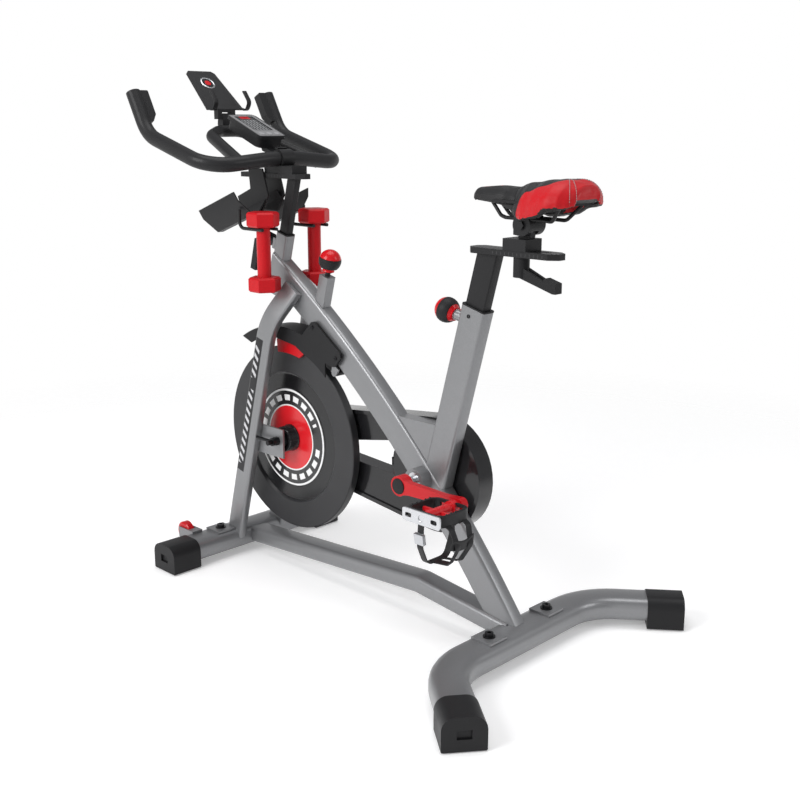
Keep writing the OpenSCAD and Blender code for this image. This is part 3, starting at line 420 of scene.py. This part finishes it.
def printed_disc():
    disc = Finish("printed_centre_disc", (0.62, 0.01, 0.015), 0.22, coat_weight=0.2, coat_roughness=0.1)
    radius, angle = polar(disc, axle)
    ring = (radius > 0.0795) * (radius < 0.083) + (radius > 0.1165) * (radius < 0.1215)
    bars = ((angle * (20 / (2 * pi))) % 1.0 < 0.62) * (radius > 0.093) * (radius < 0.107)
    bars = bars * ((angle * (2 / (2 * pi))) % 1.0 > 0.14)
    dark = radius > 0.0795
    ground = disc.mix(dark, (0.64, 0.009, 0.015), (0.012, 0.012, 0.013))
    disc.set("Base Color", disc.mix(ring + bars, ground, (0.78, 0.78, 0.78)))
    return disc.bump(disc.noise(900, 2), 0.1, 0.0001)


turned_iron().put_on("flywheel", "flywheel_hub")
printed_disc().put_on("flywheel_disc")
print("flywheel axle at", tuple(round(value, 4) for value in axle))

# %% [markdown]
# ## Shapes that come back
# Two kinds of shape make all the small pieces: a profile turned round an axis, as on a lathe, and an outline with
# thickness, as cut from sheet. Each is a short function that returns an object whose mesh is already in the bike's
# own frame. Blender could turn and extrude with modifiers, but points worked out in Python stay easy to check.

# %% Turned and cut-out pieces
made = []


def piece_from(name, mesh_points, faces, body, finish, slot=None, bevel=0.0):
    mesh = bpy.data.meshes.new(name)
    mesh.from_pydata([tuple(p) for p in mesh_points], [], faces)
    joined = bmesh.new()
    joined.from_mesh(mesh)
    bmesh.ops.remove_doubles(joined, verts=joined.verts, dist=1e-6)
    bmesh.ops.recalc_face_normals(joined, faces=joined.faces)
    joined.to_mesh(mesh)
    joined.free()
    piece = bpy.data.objects.new(name, mesh)
    bpy.context.scene.collection.objects.link(piece)
    mesh.materials.append(finish.material)
    mesh.polygons.foreach_set("use_smooth", [True] * len(mesh.polygons))
    mesh.set_sharp_from_angle(angle=radians(35))
    if bevel:
        edge = piece.modifiers.new("edge", "BEVEL")
        edge.width = bevel
        edge.segments = 2
        edge.limit_method = "ANGLE"
        edge.angle_limit = radians(35)
    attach(piece, body)
    made.append(name)
    return piece


def frame_along(axis):
    return Vector(axis).normalized().to_track_quat("Z", "Y").to_matrix()


def turned(name, base, axis, profile, body, finish, slot=None, steps=48):
    """A profile of (radius, height) pairs turned round the axis that starts at base."""
    turn = frame_along(axis)
    points = [Vector(base) + turn @ Vector((r * cos(2 * pi * k / steps), r * sin(2 * pi * k / steps), h))
              for k in range(steps) for r, h in profile]
    count = len(profile)
    faces = [[a * count + i, b * count + i, b * count + i + 1, a * count + i + 1]
             for a in range(steps) for b in [(a + 1) % steps] for i in range(count - 1)]
    return piece_from(name, points, faces, body, finish, slot)


def rounded_box(width, height, radius, count=5):
    corners = [(width / 2 - radius, height / 2 - radius, 0), (radius - width / 2, height / 2 - radius, 90),
               (radius - width / 2, radius - height / 2, 180), (width / 2 - radius, radius - height / 2, 270)]
    return [(x + radius * cos(radians(a + 90 * k / count)), y + radius * sin(radians(a + 90 * k / count)))
            for x, y, a in corners for k in range(count + 1)]


def curve_through(points, steps=10):
    """A smooth path through the given points."""
    points = [Vector(p) for p in points]
    padded = [2 * points[0] - points[1], *points, 2 * points[-1] - points[-2]]
    path = []
    for a, b, c, d in zip(padded, padded[1:], padded[2:], padded[3:]):
        for k in range(steps):
            t = k / steps
            path.append(0.5 * (2 * b + (c - a) * t + (2 * a - 5 * b + 4 * c - d) * t * t
                               + (3 * b - a - 3 * c + d) * t ** 3))
    return [*path, points[-1]]


def slab(name, outline, origin, across, along, thickness, body, finish, slot=None, bevel=0.0006):
    """An outline in the plane of two directions, given thickness along their cross product."""
    across, along = Vector(across).normalized(), Vector(along).normalized()
    out = across.cross(along)
    low = [Vector(origin) + across * a + along * b for a, b in outline]
    points = low + [p + out * thickness for p in low]
    count = len(outline)
    faces = [list(range(count)), list(range(count, 2 * count))]
    faces += [[i, (i + 1) % count, count + (i + 1) % count, count + i] for i in range(count)]
    return piece_from(name, points, faces, body, finish, slot, bevel)


print("shape functions ready")

# %% [markdown]
# ## The saddle
# A sport saddle is foam moulded over a shell and covered with synthetic leather: a slim nose, a channel down the
# middle, wings that drop at the sides and a broad tail. It could be pushed out of a ball by sculpting. Lofting a
# section along the length keeps every width and height a number that can be read and changed, so that is done
# first. A short cloth simulation with a little air pressure then makes it swell like foam under a tight cover.

# %% Outline of the saddle along its length
pad_low, pad_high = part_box("saddle_pad")
pad_length = pad_high.x - pad_low.x
shell_top = pad_low.z


def eased(stops, u):
    """The value at u of a smooth line through (u, value) stops."""
    for (a, low), (b, high) in zip(stops, stops[1:]):
        if u <= b:
            t = max(0.0, (u - a) / (b - a))
            return low + (high - low) * t * t * (3 - 2 * t)
    return stops[-1][1]


half_width = [(0, 0.009), (0.05, 0.018), (0.15, 0.0225), (0.32, 0.025), (0.43, 0.031), (0.52, 0.047), (0.62, 0.064),
              (0.74, 0.075), (0.86, 0.082), (0.93, 0.075), (0.97, 0.062), (1, 0.042)]
crown = [(0, 0.010), (0.06, 0.0195), (0.26, 0.0225), (0.42, 0.0205), (0.6, 0.031), (0.78, 0.0375), (0.9, 0.039),
         (1, 0.029)]
side_low = [(0, -0.0035), (0.06, -0.0075), (0.28, -0.0135), (0.40, -0.022), (0.47, -0.032), (0.58, -0.0385),
            (0.72, -0.0325), (0.86, -0.0155), (0.94, -0.0120), (1, -0.0095)]


def saddle_ring(u):
    w, top, low = (eased(line, u) for line in (half_width, crown, side_low))
    drop = top - low
    under = max(low + 0.012, 0.0005)
    channel = 0.004 * sin(pi * min(1, max(0, (u - 0.12) / 0.8)))
    half = [(0, under), (0.62 * w, under), (0.76 * w, low + 0.010), (0.86 * w, low + 0.001), (0.96 * w, low + 0.002),
            (w, low + 0.14 * drop), (0.95 * w, top - 0.58 * drop), (0.83 * w, top - 0.34 * drop),
            (0.62 * w, top - 0.12 * drop), (0.36 * w, top - 0.01 * drop), (0.15 * w, top - 0.4 * channel),
            (0, top - channel)]
    ring = half + [(-y, z) for y, z in half[-2:0:-1]]
    loop = curve_through([(0, y, z) for y, z in [*ring, ring[0]]], 4)[:-1]
    return [Vector((pad_low.x + u * pad_length, p.y, shell_top + p.z)) for p in loop]


def lofted_saddle(spans=44):
    rings = [saddle_ring(k / spans) for k in range(spans + 1)]
    count = len(rings[0])
    faces = [[i * count + j, i * count + (j + 1) % count, (i + 1) * count + (j + 1) % count, (i + 1) * count + j]
             for i in range(spans) for j in range(count)]
    faces += [list(range(count)), [spans * count + j for j in range(count)]]
    return [p for ring in rings for p in ring], faces


print("saddle", round(1000 * pad_length), "mm long")

# %% [markdown]
# ## Leather in two colours
# The nose and the top are grey-black grained leather and the wings and tail are red. The seam between them runs
# along both sides of the top and closes in an arc before the tail: in the material it is an ellipse joined to two
# straight lines. Leather grain is a cell pattern: the creases lie between the cells.

# %% Black and red leather
def leather():
    hide = Finish("two_colour_leather", (0.02, 0.02, 0.022), 0.42, specular_ior_level=0.28)
    along = hide.axis("X") - pad_low.x
    across = abs(hide.axis("Y"))
    height = hide.axis("Z") - shell_top
    tail = hide.spread(along, 0.205, 0.245)
    panel = (across * (1 / 0.049)) ** 2 + tail * tail
    wing = along > 0.146 + 0.5 * height
    inlay = (across < 0.0045) * (along > 0.024) * (along < 0.070) * (height > 0.01)
    red = ((panel > 1.0) * wing + inlay) > 0.5
    # Faces that point downward are painted near black: a painted shade on the underside of the saddle.
    facing = hide.node("NewGeometry", output="Normal")
    painted_shade_below = hide.node("SeparateXYZ", inputs={0: facing}, output=2) < -0.45
    colour = hide.mix(red, leather_black, paint_red)
    hide.set("Base Color", hide.mix(painted_shade_below, colour, (0.010, 0.010, 0.010)))
    creases = hide.spread(hide.cells(900, "DISTANCE_TO_EDGE"), 0.0, 0.25)
    seam = hide.spread(abs(panel - 1.0), 0.0, 0.05)
    hide.set("Roughness", hide.spread(hide.noise(30, 3), 0.3, 0.7, 0.36, 0.5))
    return hide.bump(creases * 0.5 + hide.noise(240, 3) + seam, 0.35, 0.0004)


saddle_leather = leather()
print(saddle_leather.material.name, "has", len(saddle_leather.nodes), "nodes")

# %% [markdown]
# ## Swelling the saddle
# The recipe: rebuild the surface in even squares, blow it up softly with the Cloth modifier while gravity is
# off, and keep every point within a few millimetres of where it started so that the saddle keeps its size.

# %% Inflate and keep
def inflate(piece, voxel=0.0032, pressure=4.0, reach=0.004):
    bpy.context.view_layer.objects.active = piece
    piece.select_set(True)
    remesh = piece.modifiers.new("squares", "REMESH")
    remesh.mode = "VOXEL"
    remesh.voxel_size = voxel
    bpy.ops.object.modifier_apply(modifier=remesh.name)
    start = [v.co.copy() for v in piece.data.vertices]
    cloth = piece.modifiers.new("cloth", "CLOTH")
    cloth.settings.quality = 6
    cloth.settings.use_pressure = True
    cloth.settings.uniform_pressure_force = pressure
    cloth.settings.effector_weights.gravity = 0
    scene = bpy.context.scene
    for step in range(1, 21):
        scene.frame_set(step)
    shape = piece.evaluated_get(bpy.context.evaluated_depsgraph_get()).data
    moved = [v.co.copy() for v in shape.vertices]
    piece.modifiers.remove(cloth)
    scene.frame_set(1)
    for vertex, old, new in zip(piece.data.vertices, start, moved):
        step = new - old
        vertex.co = old + step * min(1.0, reach / max(step.length, 1e-9))
    print(piece.name, "swelled by up to", round(1000 * max((v.co - o).length for v, o in
                                                           zip(piece.data.vertices, start)), 1), "mm")


saddle = piece_from("saddle_cover", *lofted_saddle(), "saddle", saddle_leather, "cushion")
inflate(saddle)
saddle.data.polygons.foreach_set("use_smooth", [True] * len(saddle.data.polygons))
finer = saddle.modifiers.new("finer", "SUBSURF")
finer.levels = finer.render_levels = 1
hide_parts("saddle_pad")
print(len(saddle.data.vertices), "points under the leather")

# %% [markdown]
# ## Stitches
# Two pale thread lines run down each rear corner of the saddle. A stitch is a short rounded bar that lies on the
# leather, so rays are sent outward from a point inside the tail, fanned from low to high, and a bar is laid where
# each one leaves the surface.

# %% Stitched lines on the rear corners
thread_radius = 0.0006
stitch_half = 0.0014
stitch_pitch = 0.0042


def thread_finish():
    thread = Finish("grey_sewing_thread", (0.36, 0.36, 0.37), 0.7)
    return thread.bump(thread.noise(3000, 2), 0.4, 0.0001)


def stitch_line(name, turn, finish):
    start = Vector((pad_low.x + 0.225, 0, shell_top + 0.010))
    points, faces = [], []
    last = None
    for k in range(130):
        rise = radians(-12 + 0.6 * k)
        ray = Vector((cos(rise) * cos(turn), cos(rise) * sin(turn), sin(rise)))
        hit, where, normal, _ = saddle.ray_cast(start, ray)
        if not hit or (last and (where - last).length < stitch_pitch):
            continue
        if last:
            ahead = (where - last).normalized()
            normal = normal if normal.dot(ray) > 0 else -normal
            wide = normal.cross(ahead).normalized()
            base = len(points)
            for along in (-stitch_half, stitch_half):
                for side in range(6):
                    points.append(where + ahead * along + wide * thread_radius * cos(side * pi / 3)
                                  + normal * (thread_radius / 2 + thread_radius * sin(side * pi / 3)))
            faces += [[base + j, base + (j + 1) % 6, base + 6 + (j + 1) % 6, base + 6 + j] for j in range(6)]
            faces += [[base + j for j in range(6)], [base + 6 + j for j in range(6)]]
        last = where
    return piece_from(name, points, faces, "saddle", finish, "cushion")


thread = thread_finish()
for side, word in ((-1, "left"), (1, "right")):
    for row, degrees_round in enumerate((52, 40)):
        stitch_line(f"stitches_{word}_{row + 1}", radians(side * degrees_round), thread)
print("stitch lines sewn")

# %% [markdown]
# ## Ball knobs
# The brake knob and the saddle's pull pin carry the same knob: a black grip ring between a red cap and a red
# collar. On the real knob these are three mouldings pressed together, so three turned pieces are made, each a
# slice of one ball with a fine groove between them.

# %% Slices of a ball and the brake knob
def ball_slice(radius, low, high, steps=14):
    """Profile of the part of a ball between two latitudes in degrees, closed on the axis."""
    turns = [radians(low + (high - low) * k / steps) for k in range(steps + 1)]
    arc = [(radius * cos(turn), radius * sin(turn)) for turn in turns]
    return [(0, arc[0][1]), *arc, (0, arc[-1][1])]


def ball_knob(name, centre, axis, radius, body):
    collar = [(0, -radius), (radius * 0.55, -radius * 0.95), *ball_slice(radius * 0.95, -58, -42)[1:-1],
              (0, -radius * 0.55)]
    cap = ball_slice(radius * 0.985, 16, 90)
    return [turned(f"{name}_grip", centre, axis, ball_slice(radius, -40, 14), body, grained_black, "black_plastic"),
            turned(f"{name}_cap", centre, axis, cap, body, glossy_red, "red_plastic"),
            turned(f"{name}_collar", centre, axis, collar, body, glossy_red, "red_plastic")]


lean = radians(15)
lean_up = Vector((sin(lean), 0, cos(lean)))
brake_radius = 0.026
knob_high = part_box("resistance_knob")[1]
brake_ball = Vector((knob_high.x - brake_radius, 0, knob_high.z - brake_radius))
brake_pieces = ball_knob("brake_knob", brake_ball, lean_up, brake_radius, "knob")
brake_pieces.append(turned("brake_knob_neck", brake_ball - lean_up * 0.0278, lean_up,
                           [(0.0062, 0), (0.0095, 0), (0.0105, 0.002), (0.009, 0.006), (0.0062, 0.006)], "knob",
                           grained_black, "black_plastic"))
for knob_piece in brake_pieces:
    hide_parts("resistance_knob")
print("brake knob pieces:", len(brake_pieces))

# %% [markdown]
# ## The pull pin
# Pulling this knob draws a spring pin out of the seat post, so that the post can slide. The knob is the same ball
# as the brake's, a millimetre larger, and points straight out from the tube. The bright shank is one turned piece.

# %% The pull pin's knob and shank
pin_out = Vector(joints["seat_pin_pull"]["axis"])
pull_radius = 0.027
pin_low, pin_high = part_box("seat_pin")
pin_ball = Vector((pin_low.x + pull_radius, 0, pin_high.z - pull_radius))
pin_pieces = ball_knob("pull_knob", pin_ball, pin_out, pull_radius, "pop_pin")
pin_pieces.append(turned("pull_pin_shank", pin_ball - pin_out * 2 * pull_radius, pin_out,
                         [(0, 0), (0.0036, 0), (0.0046, 0.001), (0.0046, 0.026), (0.009, 0.0265), (0.0115, 0.0275),
                          (0.0115, 0.031), (0.009, 0.032), (0, 0.032)], "pop_pin", plated, "bright_steel"))
for knob_piece in pin_pieces:
    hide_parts("seat_pin")
print("pull pin pieces:", len(pin_pieces))

# %% [markdown]
# ## Small fittings
# The device rest carries a round badge and a folded bead across its foot, the cranks end in pressed caps, and a
# set screw sits in the side of the seat tube. The badge is a plain bright ring round a red centre. All of them are
# turned or cut from sheet, so the two shape functions are enough.

# %% Badge, bead, crank caps and set screw
rest_foot = Vector((-0.5153, 0, 1.110))
rest_lean = radians(48)
rest_up = Vector((-sin(rest_lean), 0, cos(rest_lean)))
rest_out = Vector((cos(rest_lean), 0, sin(rest_lean)))
badge_at = rest_foot + rest_up * 0.092
badge_ring = [(0.0150, 0.0), (0.0195, 0.0), (0.0190, 0.0014), (0.0165, 0.0018), (0.0152, 0.0010)]
badge_ground = [(0, 0.0), (0.0152, 0.0), (0.0152, 0.0008), (0, 0.0008)]
badge_centre = [(0, 0.0006), (0.0085, 0.0006), (0.0080, 0.0014), (0, 0.0018)]
turned("badge_ring", badge_at, rest_out, badge_ring, "tablet", plated, "bright_steel")
turned("badge_ground", badge_at, rest_out, badge_ground, "tablet", blackened, "black_paint")
turned("badge_centre", badge_at, rest_out, badge_centre, "tablet", glossy_red, "red_plastic")
slab("rest_bead", rounded_box(0.092, 0.0022, 0.001), rest_foot + rest_up * 0.0155, (0, 1, 0), rest_up, -0.0008,
     "tablet", satin_black, "black_paint", 0.0003)
crank_at = Vector(joints["crank_spin"]["pos_m"])
crank_face = 0.0951
crank_cap = [(0, 0), (0.0172, 0), (0.0172, 0.0012), (0.0162, 0.0024), (0.0155, 0.0018), (0.005, 0.0026), (0, 0.0026)]
for side, word in ((-1, "left"), (1, "right")):
    turned(f"crank_cap_{word}", crank_at + Vector((0, side * crank_face, 0)), (0, side, 0), crank_cap, "crankset",
           grained_black, "black_plastic")
socket_screw = [(0.0018, 0.0002), (0.0040, 0), (0.0040, 0.0012), (0.0032, 0.0018), (0.0018, 0.0018)]
turned("seat_set_screw", (0.2875, -0.0180, 0.700), (0, -1, 0), socket_screw, "frame", blackened, "black_paint")
print("small fittings made")

# %% [markdown]
# ## Rack bracket and hub boss
# Two folded plates hang the trough holders below the handlebar slide, and a wide glossy boss covers the middle of
# the flywheel. The plate is one outline with a thickness. The boss is a turned cup, open where the axle passes.

# %% Bracket plates and boss
plate_thick = 0.0046
plate_side = 0.024
plate_corner = Vector((-0.3963, 0, 0.926))
bracket = [(-0.005, 0.048), (0.047, 0.048), (0.067, -0.014), (0.043, -0.053), (-0.013, -0.053), (-0.039, -0.045),
           (-0.050, -0.020), (0, 0)]
for side, word in ((-1, "left"), (1, "right")):
    inner = plate_corner + Vector((0, side * plate_side + plate_thick / 2, 0))
    slab(f"rack_bracket_{word}", bracket, inner, (1, 0, 0), (0, 0, 1), plate_thick, "bar_mast", satin_black,
         "black_paint", 0.001)
boss = [(0.0230, 0), (0.0335, 0), (0.0335, 0.0030), (0.0320, 0.0050), (0.0310, 0.0250), (0.0290, 0.0280),
        (0.0225, 0.0280), (0.0225, 0.0200)]
turned("hub_boss", axle + Vector((0, -0.0080, 0)), (0, -1, 0), boss, "wheel", glossy_black, "black_plastic")
print("pieces so far:", len(made))

# %% [markdown]
# ## The floor
# The bike stands on a round sheet of white paper that fades into the surround. A flat disc is enough. It glows
# a little, so that it stays white away from the shadows, and it turns transparent before its edge.

# %% Floor
def studio_floor():
    count, radius = 96, 4
    mesh = bpy.data.meshes.new("floor")
    rim = [(radius * cos(2 * pi * k / count), radius * sin(2 * pi * k / count), 0) for k in range(count)]
    mesh.from_pydata(rim, [], [list(range(count))])
    floor = bpy.data.objects.new("floor", mesh)
    bpy.context.scene.collection.objects.link(floor)
    paper = Finish("white_paper", (0.92, 0.92, 0.92), 0.9)
    side, depth = paper.axis("X"), paper.axis("Y")
    reach = (side * side + depth * depth) ** 0.5
    paper.set("Emission Color", (1, 1, 1, 1))
    paper.set("Emission Strength", 0.22)
    paper.set("Alpha", paper.spread(reach, 0.9, 2.6, 1.0, 0.0))
    mesh.materials.append(paper.material)
    floor.location.z = -0.0005


studio_floor()
print("floor laid")

# %% [markdown]
# ## Lamps and surround
# Pale walls light the bike from all sides. The surround is bright near the horizon and darker overhead
# and behind the saddle, so the sides of tubes look pale, their tops dark, and their rear faces darker still. One
# large lamp in front and three weaker ones model the shapes and lay a soft shadow.

# %% Lamps and surround
def lamp(name, place, target, size, watts):
    light = bpy.data.lights.new(name, "AREA")
    light.shape = "SQUARE"
    light.size = size
    light.energy = watts
    holder = bpy.data.objects.new(name, light)
    bpy.context.scene.collection.objects.link(holder)
    holder.location = place
    holder.rotation_mode = "QUATERNION"
    holder.rotation_quaternion = (Vector(target) - Vector(place)).to_track_quat("-Z", "Y")


def surround():
    """White near the horizon, darker overhead and towards the rear."""
    world = bpy.data.worlds.new("white_surround")
    bpy.context.scene.world = world
    world.use_nodes = True
    tree = world.node_tree
    place = tree.nodes.new("ShaderNodeTexCoord")
    parts = tree.nodes.new("ShaderNodeSeparateXYZ")
    tree.links.new(place.outputs["Generated"], parts.inputs[0])
    shade = None
    overhead = (2, 0.11, 0.32, (0.34, 0.34, 0.35, 1))
    rear = (0, 0.15, 0.75, (0.40, 0.40, 0.41, 1))
    for direction, begin, end, dark in (overhead, rear):
        reach = tree.nodes.new("ShaderNodeMapRange")
        reach.inputs["From Min"].default_value = begin
        reach.inputs["From Max"].default_value = end
        blend = tree.nodes.new("ShaderNodeMix")
        blend.data_type = "RGBA"
        blend.inputs[6].default_value = (1, 1, 1, 1)
        blend.inputs[7].default_value = dark
        tree.links.new(parts.outputs[direction], reach.inputs["Value"])
        tree.links.new(reach.outputs[0], blend.inputs[0])
        if shade:
            tree.links.new(shade, blend.inputs[6])
        shade = blend.outputs[2]
    tree.links.new(shade, tree.nodes["Background"].inputs["Color"])
    tree.nodes["Background"].inputs["Strength"].default_value = 1.0


lamp("key", (-0.6, -3.6, 2.6), (0, 0, 0.5), 2.2, 110)
lamp("rim", (3.6, 1.8, 2.6), (0, 0, 0.6), 1.6, 30)
lamp("fill", (3.2, -3.0, 1.4), (0, 0, 0.6), 2.4, 10)
lamp("top", (0, 0.2, 4.2), (0, 0, 0), 2.6, 70)
surround()
bpy.context.scene.view_settings.view_transform = "Standard"
print("lamps:", len(bpy.data.lights))

# %% [markdown]
# ## The camera
# The camera looks at the middle of the bike from behind its left side, a little above, from about two and a half
# metres. The angles are all it needs: its place follows from them.

# %% Camera
azimuth, elevation, distance = radians(44.4), radians(14.1), 2.445
aim = Vector((0.0767, 0, 0.4863))
camera = bpy.data.objects.new("camera", bpy.data.cameras.new("camera"))
bpy.context.scene.collection.objects.link(camera)
camera.data.lens = 50
camera.data.sensor_width = 36
away = Vector((sin(azimuth) * cos(elevation), -cos(azimuth) * cos(elevation), sin(elevation)))
camera.location = aim + away * distance
camera.rotation_mode = "QUATERNION"
camera.rotation_quaternion = (-away).to_track_quat("-Z", "Y")
bpy.context.scene.camera = camera
print("camera at", tuple(round(value, 3) for value in camera.location))

# %% Count the pieces and finish
print("pieces made here:", len(made))
